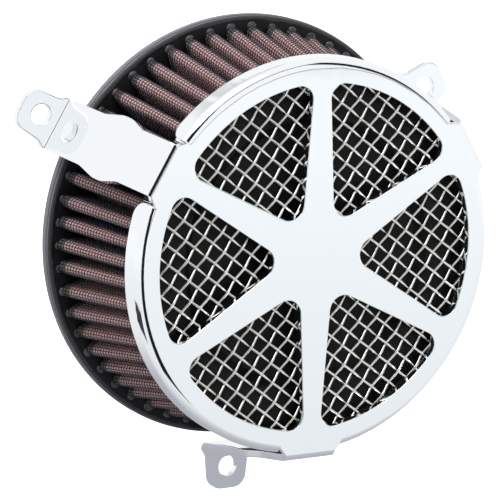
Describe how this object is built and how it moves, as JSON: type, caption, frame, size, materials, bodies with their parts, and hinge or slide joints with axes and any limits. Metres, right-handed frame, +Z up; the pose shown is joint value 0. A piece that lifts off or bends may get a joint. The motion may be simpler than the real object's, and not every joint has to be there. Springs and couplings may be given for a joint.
{
  "type": "air filter",
  "caption": "Tapered pleated air filter element behind a chromed spoke cover with a woven screen, three arms and bolt lugs.",
  "frame": {"origin": "on the filter's axis, in the mounting plane that the backs of the three lugs and the sealing bead lie in", "axes": "+Y along the filter's axis, back towards the engine; +Z up as fitted, with one lug straight down; +X to the right seen from the front"},
  "size_m": [0.2054, 0.073, 0.206],
  "materials": {
    "cover_chrome": "polished chrome plate on pressed steel",
    "screen_steel": "bright drawn wire, plain woven",
    "ring_steel": "plain steel strip",
    "moulded_black": "cast black polyurethane, satin",
    "coated_wire": "epoxy-coated woven aluminium wire",
    "oiled_gauze": "oiled cotton gauze, dusty red"
  },
  "bodies": {
    "filter_element": {"front_end_cap": "moulded_black", "rear_flange": "moulded_black", "outer_wire_screen": "coated_wire", "cotton_gauze_1": "oiled_gauze", "cotton_gauze_2": "oiled_gauze", "cotton_gauze_3": "oiled_gauze", "cotton_gauze_4": "oiled_gauze", "inner_wire_screen": "coated_wire"},
    "cover": {"front_cover": "cover_chrome", "screen_warp_wires": "screen_steel", "screen_weft_wires": "screen_steel", "screen_retaining_ring": "ring_steel"}
  },
  "joints": [
    {"name": "cover_removal", "type": "slide", "parent": "filter_element", "child": "cover", "axis": [0, -1, 0], "range_m": [0, 0.09]}
  ]
}
